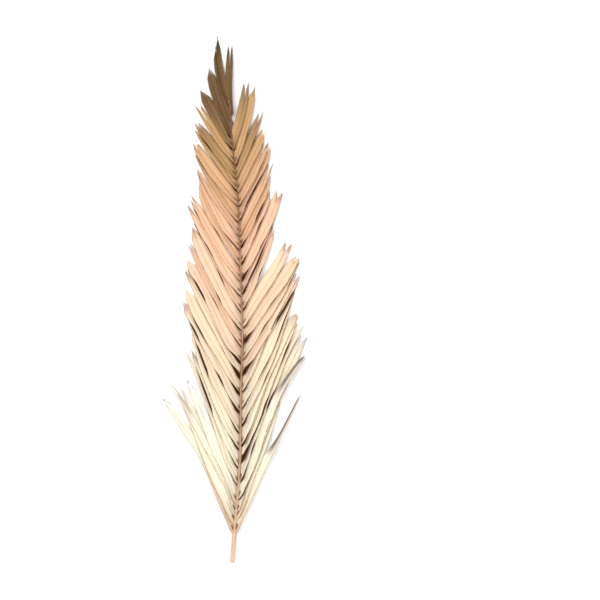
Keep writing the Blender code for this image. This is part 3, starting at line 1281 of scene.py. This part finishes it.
@dataclass
class Stalk:
    """The stalk, smooth and rounded, with lengthwise ridges and a sawn end."""

    form: StalkForm
    finish: Material
    name: str = "stalk"
    rows: int = 260
    sides: int = 24
    ridge: float = 0.00012
    ridge_count: float = 9.0
    ridge_grain: float = 12.0
    swell: float = 0.03
    swell_grain: float = 25.0
    swell_row: Pair = (4.0, 1.0)
    flat_below: float = 0.1
    cut_rows: int = 3
    cut_bevel: float = 0.0004
    cut_shrink: float = 0.10

    def _outline(self) -> Iterator[Pair]:
        """Places round the section, spaced evenly between its corners.

        Returns:
            Each place's share across and up.
        """
        corners = self.form.section
        for k in range(self.sides):
            place = k * len(corners) / self.sides
            i = int(place)
            (x0, y0), (x1, y1) = corners[i], corners[(i + 1) % len(corners)]
            yield mixed(x0, x1, place - i), mixed(y0, y1, place - i)

    def _ring(self, along: float, shrink: float) -> Iterator[Vector]:
        """Points round the stalk at a station.

        Args:
            along: The station.
            shrink: Share that the section is drawn in.

        Returns:
            The points.
        """
        sideways, underside, width, depth = self.form.at(along)
        middle = self.form.middle
        swelling = self.swell * noise.noise((along * self.swell_grain, *self.swell_row))
        for k, (across, up) in enumerate(self._outline()):
            lift = 1.0 + swelling * min(up, 1.0) - shrink
            raised = up > self.flat_below
            height = (up - middle) * depth * (lift if raised else 1.0 - shrink)
            point = in_place(
                sideways + across * width * lift, along, underside + middle * depth + height
            )
            if raised:
                turn = 2 * math.pi * k / self.sides
                spot = (self.ridge_count * math.cos(turn), self.ridge_count * math.sin(turn),
                        along * self.ridge_grain)
                outward = Vector((across, 0.0, up - middle)).normalized()
                point += outward * self.ridge * noise.noise(spot)
            yield point

    def build(self) -> Object:
        """Builds the stalk, whose points carry how far out to either side they are.

        Returns:
            The stalk as one piece.
        """
        last = self.form.stations[-1][0]
        stations = [
            (self.cut_bevel * k / self.cut_rows, self.cut_shrink * (1 - k / self.cut_rows) ** 2)
            for k in range(self.cut_rows)
        ]
        for k in range(self.rows + 1):
            stations.append((mixed(self.cut_bevel, last, k / self.rows), 0.0))
        flanks = [2.0 * abs(across) for across, _ in self._outline()]
        draft = MeshDraft()
        rings = [
            [draft.add(point, flank=flank) for point, flank in zip(self._ring(*station), flanks)]
            for station in stations
        ]
        draft.tube(rings)
        draft.faces += [rings[0], rings[-1]]
        return draft.piece(self.name, self.finish)


class NodeTool(NodeDraft):
    """A Geometry Nodes tree with named inputs, applied to a guide mesh."""

    kinds = {float: "NodeSocketFloat", int: "NodeSocketInt", tuple: "NodeSocketVector"}

    def __init__(self, name: str, inputs: dict[str, object]) -> None:
        """Starts a tree that takes and gives geometry.

        Args:
            name: Its name.
            inputs: Its named inputs, with their values.
        """
        self.tree = bpy.data.node_groups.new(name, "GeometryNodeTree")
        face = self.tree.interface
        for way in ("INPUT", "OUTPUT"):
            face.new_socket("Geometry", in_out=way, socket_type="NodeSocketGeometry")
        for key, value in inputs.items():
            socket = face.new_socket(key, in_out="INPUT", socket_type=self.kinds[type(value)])
            socket.default_value = value
        material = face.new_socket("Material", in_out="INPUT", socket_type="NodeSocketMaterial")
        self.material_input = material.identifier
        self.given = self.tree.nodes.new("NodeGroupInput").outputs
        self.result = self.tree.nodes.new("NodeGroupOutput").inputs

    def made(self, kind: str, inputs: dict[str, object]) -> Socket:
        """What a geometry node makes of its inputs."""
        return self.node("GeometryNode" + kind, inputs).outputs[0]

    def number(self, name: str) -> Socket:
        """A number that the guide mesh carries at each point."""
        return self.made("InputNamedAttribute", {"Name": name})

    def random(self, low: object) -> Socket:
        """A number of up to 1 for each point or instance, drawn from the tree's own seed."""
        inputs = {"Min_001": low, "Max_001": 1.0, "Seed": self.given["Seed"]}
        return self.node("FunctionNodeRandomValue", inputs, data_type="FLOAT").outputs[1]

    def uneven(self, name: str) -> Socket:
        """The same number, made smaller at random by up to the tree's unevenness."""
        least = self.math("SUBTRACT", 1.0, self.given["Unevenness"])
        return self.times(self.number(name), self.random(least))

    def piece(self, name: str, geometry: Socket, guide: Mesh, finish: Material) -> Object:
        """Ends the tree and runs it on a guide mesh.

        Args:
            name: The finished piece's name.
            geometry: What the tree has made.
            guide: The mesh that the tree works on.
            finish: The piece's material.

        Returns:
            The piece, as a plain mesh with no modifier left on it.
        """
        real = self.made("RealizeInstances", {"Geometry": geometry})
        smooth = self.made("SetShadeSmooth", {"Geometry": real})
        painted = {"Geometry": smooth, "Material": self.given["Material"]}
        self.tree.links.new(self.made("SetMaterial", painted), self.result["Geometry"])
        helper = shown(name + "_guide", guide)
        modifier = helper.modifiers.new("nodes", "NODES")
        modifier.node_group = self.tree
        modifier[self.material_input] = finish
        bpy.context.view_layer.update()
        graph = bpy.context.evaluated_depsgraph_get()
        mesh = bpy.data.meshes.new_from_object(helper.evaluated_get(graph))
        mesh.name = name
        bpy.data.objects.remove(helper, do_unlink=True)
        log.info("%s: %d faces", name, len(mesh.polygons))
        return shown(name, mesh)


@dataclass
class LeafletRibs:
    """Fine raised ribs that run up every leaflet beside its fold and near its edges."""

    blades: list[Blade]
    finish: Material
    name: str = "leaflet_ribs"
    places: Row = (-0.55, 0.0, 0.55)
    rows: int = 34
    start: float = 0.04
    stop: float = 0.93
    thickness: float = 0.00022
    fold_thickness: float = 0.00034
    end_thickness: float = 0.35
    root_taper: float = 5.0
    tip_taper: float = 4.0
    sides: int = 5
    unevenness: float = 0.3
    seed: int = 11

    def _guide(self) -> Mesh:
        """Lines up the blades, with each line's thickness along it.

        Returns:
            Their mesh.
        """
        draft = MeshDraft()
        runs = [k / self.rows for k in range(self.rows + 1)]
        for blade, place in product(self.blades, self.places):
            full = self.thickness if place else self.fold_thickness
            for run in runs:
                share = mixed(self.start, self.stop * blade.full_share, run)
                face = blade.dried_face(share, blade.reach(share), blade.slanted(share))
                fold, edge = face[1], face[0] if place > 0.0 else face[2]
                sunk = blade.hollowed((edge - fold).length, abs(place))
                point = fold.lerp(edge, abs(place)) + sunk * blade.frame(share).above
                taper = max(0.0, min(1.0, self.root_taper * run, self.tip_taper * (1.0 - run)))
                last = draft.add(
                    in_place(*point),
                    rib_radius=full * mixed(self.end_thickness, 1.0, taper),
                    tone=blade.tone,
                    lengthwise=share,
                    rooted=blade.rooted,
                    inwards=0.5 - 0.5 * place,
                    curled=blade.curled(share),
                )
                if run:
                    draft.edges.append((last - 1, last))
        return draft.mesh(self.name + "_lines")

    def build(self) -> Object:
        """Sweeps the ribs along their lines.

        Returns:
            The ribs as one piece.
        """
        tool = NodeTool("ribs_along_leaflets", {
            "Sides": self.sides, "Unevenness": self.unevenness, "Seed": self.seed,
        })
        swept = tool.made("CurveToMesh", {
            "Curve": tool.made("MeshToCurve", {"Mesh": tool.given["Geometry"]}),
            "Profile Curve": tool.made("CurvePrimitiveCircle", {
                "Resolution": tool.given["Sides"], "Radius": 1.0,
            }),
            "Scale": tool.uneven("rib_radius"),
            "Fill Caps": True,
        })
        return tool.piece(self.name, swept, self._guide(), self.finish)


@dataclass
class LeafletFeet:
    """The swollen feet that hold the leaflets on the stalk, one on each side at every root."""

    blades: list[Blade]
    finish: Material
    name: str = "leaflet_feet"
    size: Row = (0.0015, 0.0062, 0.0019)
    low_size: float = 1.1
    high_size: float = 0.7
    out: float = 0.26
    up: float = 0.74
    turned_at: float = 0.06
    step: float = 0.006
    rise: float = 0.0014
    segments: int = 12
    rings: int = 8
    unevenness: float = 0.25
    seed: int = 5

    def _guide(self) -> Mesh:
        """A point at each foot, with its turn and size.

        Returns:
            Their mesh.
        """
        draft = MeshDraft()
        for blade in self.blades:
            leaf = blade.leaflet
            sideways, underside, width, depth = blade.stalk.at(leaf.root)
            way = blade.frame(self.turned_at).along
            out = sideways + leaf.side.value * self.out * width
            place = Vector((out, leaf.root, underside + self.up * depth))
            place += self.step * Vector((way.x, way.y, 0.0)) + self.rise * UP
            size = mixed(self.low_size, self.high_size, leaf.root)
            draft.add(in_place(*place), turn=math.atan2(-way.x, way.y), size=size)
        return draft.mesh(self.name + "_points")

    def build(self) -> Object:
        """Puts a foot on every point.

        Returns:
            The feet as one piece.
        """
        tool = NodeTool("feet_at_roots", {
            "Segments": self.segments, "Rings": self.rings, "Size": self.size,
            "Unevenness": self.unevenness, "Seed": self.seed,
        })
        given = tool.given
        ball = tool.made("MeshUVSphere", {
            "Segments": given["Segments"], "Rings": given["Rings"], "Radius": 1.0,
        })
        foot = tool.made("Transform", {"Geometry": ball, "Scale": given["Size"]})
        euler = tool.node("ShaderNodeCombineXYZ", {"Z": tool.number("turn")}).outputs["Vector"]
        feet = tool.made("InstanceOnPoints", {
            "Points": given["Geometry"],
            "Instance": foot,
            "Rotation": tool.node("FunctionNodeEulerToRotation", {"Euler": euler}).outputs[0],
            "Scale": tool.uneven("size"),
        })
        return tool.piece(self.name, feet, self._guide(), self.finish)


@dataclass
class CutFibres:
    """The ends of the stalk's fibres, standing a little out of the sawn face."""

    form: StalkForm
    finish: Material
    name: str = "cut_fibres"
    radius: float = 0.00022
    length: float = 0.0011
    sides: int = 7
    spacing: float = 0.00055
    density: float = 4.0e6
    depth_in: float = 0.0003
    inset: float = 0.82
    least_size: float = 0.45
    seed: int = 3

    def _guide(self) -> Mesh:
        """The sawn face, drawn in from its edge.

        Returns:
            Its mesh.
        """
        sideways, underside, width, depth = self.form.at(0.0)
        middle = self.form.middle
        draft = MeshDraft()
        draft.faces.append([
            draft.add(in_place(
                sideways + self.inset * across * width,
                self.depth_in,
                underside + depth * (middle + self.inset * (up - middle)),
            ))
            for across, up in self.form.section
        ])
        return draft.mesh(self.name + "_face")

    def build(self) -> Object:
        """Scatters fibre ends over the sawn face.

        Returns:
            The fibre ends as one piece.
        """
        tool = NodeTool("fibres_on_cut_face", {
            "Radius": self.radius, "Length": self.length, "Spacing": self.spacing,
            "Density": self.density, "Seed": self.seed,
        })
        given = tool.given
        scattered = tool.node("GeometryNodeDistributePointsOnFaces", {
            "Mesh": given["Geometry"],
            "Distance Min": given["Spacing"],
            "Density Max": given["Density"],
            "Seed": given["Seed"],
        }, distribute_method="POISSON").outputs
        stub = tool.made("MeshCone", {
            "Vertices": self.sides, "Radius Top": given["Radius"],
            "Radius Bottom": given["Radius"], "Depth": given["Length"],
        })
        fibres = tool.made("InstanceOnPoints", {
            "Points": scattered["Points"], "Instance": stub,
            "Rotation": scattered["Rotation"], "Scale": tool.random(self.least_size),
        })
        return tool.piece(self.name, fibres, self._guide(), self.finish)


@dataclass
class Frond:
    """The whole frond: its stalk and everything that grows on it."""

    form: StalkForm = field(default_factory=StalkForm)
    blade_rule: BladeRule = field(default_factory=BladeRule)
    leaflet_rule: LeafletRule = field(default_factory=LeafletRule)
    rib_gold: float = 0.08

    def build(self) -> list[Object]:
        """Builds every piece of the frond.

        Returns:
            The pieces, the stalk first.
        """
        leaflets = self.leaflet_rule.all(self.form, self.blade_rule)
        blades = [Blade(leaflet, self.form, self.blade_rule) for leaflet in leaflets]
        left = [blade for blade in blades if blade.leaflet.side is Side.LEFT]
        right = [blade for blade in blades if blade.leaflet.side is Side.RIGHT]
        leaf = DriedLeafFinish().material()
        rib = DriedLeafFinish(name="leaf_rib", rib_gold=self.rib_gold).material()
        stalk = StalkFinish().material()
        return [
            Stalk(self.form, stalk).build(),
            CutFibres(self.form, stalk).build(),
            Leaflets("left_leaflets", left, leaf, seed=30, first_tone=0.75).build(),
            Leaflets("right_leaflets", right, leaf, seed=58, first_tone=0.5).build(),
            LeafletRibs(blades, rib).build(),
            LeafletFeet(blades, FootFinish().material()).build(),
        ]


class Lamp(NamedTuple):
    """A soft square light: its name, place, side, power in watts and colour."""

    name: str
    place: Row
    size: float
    power: float
    colour: Colour


@dataclass
class Studio:
    """Pale floor, soft lights and the camera, straight above."""

    floor_size: float = 30.0
    aim: Pair = (0.1154, 0.0900)
    camera_height: float = 3.2
    view_width: float = 1.2
    leaf_height: float = 0.008
    sensor: float = 36.0
    sky: float = 0.84
    lit: Row = (0.0, 0.09, 0.0)
    lamps: tuple[Lamp, ...] = (
        Lamp("key", (-0.9, 0.9, 2.6), 1.4, 48.0, (1.0, 0.99, 0.97)),
        Lamp("fill", (1.6, -0.6, 2.6), 1.8, 24.0, (1.0, 1.0, 1.0)),
    )

    def floor(self) -> Object:
        """Builds the floor under the frond.

        Returns:
            The floor.
        """
        half = self.floor_size / 2
        corners = ((-half, -half), (half, -half), (half, half), (-half, half))
        draft = MeshDraft()
        draft.faces.append([draft.add(Vector((*corner, 0.0))) for corner in corners])
        mesh = draft.mesh("floor")
        mesh.materials.append(FloorFinish().material())
        return shown("floor", mesh)

    def light(self, lamp: Lamp) -> None:
        """Hangs a light so that it faces the frond.

        Args:
            lamp: The light.
        """
        data = bpy.data.lights.new(lamp.name, "AREA")
        data.size = lamp.size
        data.energy = lamp.power
        data.color = lamp.colour
        holder = shown(lamp.name, data)
        holder.location = lamp.place
        facing = (Vector(self.lit) - Vector(lamp.place)).to_track_quat("-Z", "Y")
        holder.rotation_euler = facing.to_euler()

    def camera(self) -> None:
        """The camera, looking straight down with the frond's tip at the top."""
        lens = bpy.data.cameras.new("camera")
        lens.sensor_width = self.sensor
        lens.lens = self.sensor * (self.camera_height - self.leaf_height) / self.view_width
        holder = shown("camera", lens)
        holder.location = (*self.aim, self.camera_height)
        bpy.context.scene.camera = holder

    def build(self) -> Object:
        """Everything round the frond.

        Returns:
            The floor.
        """
        world = bpy.data.worlds.new("studio")
        world.use_nodes = True
        background = world.node_tree.nodes["Background"].inputs
        background["Color"].default_value = (1.0, 1.0, 1.0, 1.0)
        background["Strength"].default_value = self.sky
        bpy.context.scene.world = world
        bpy.context.scene.view_settings.view_transform = "Standard"
        for lamp in self.lamps:
            self.light(lamp)
        self.camera()
        return self.floor()


def main() -> None:
    """Builds the frond round its packed form and sets it in the studio."""
    logging.basicConfig(level=logging.INFO, format="%(message)s")
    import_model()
    for piece in Frond().build():
        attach(piece, BODY)
        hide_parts(NODE)
    Studio().build()


if __name__ == "__main__":
    main()
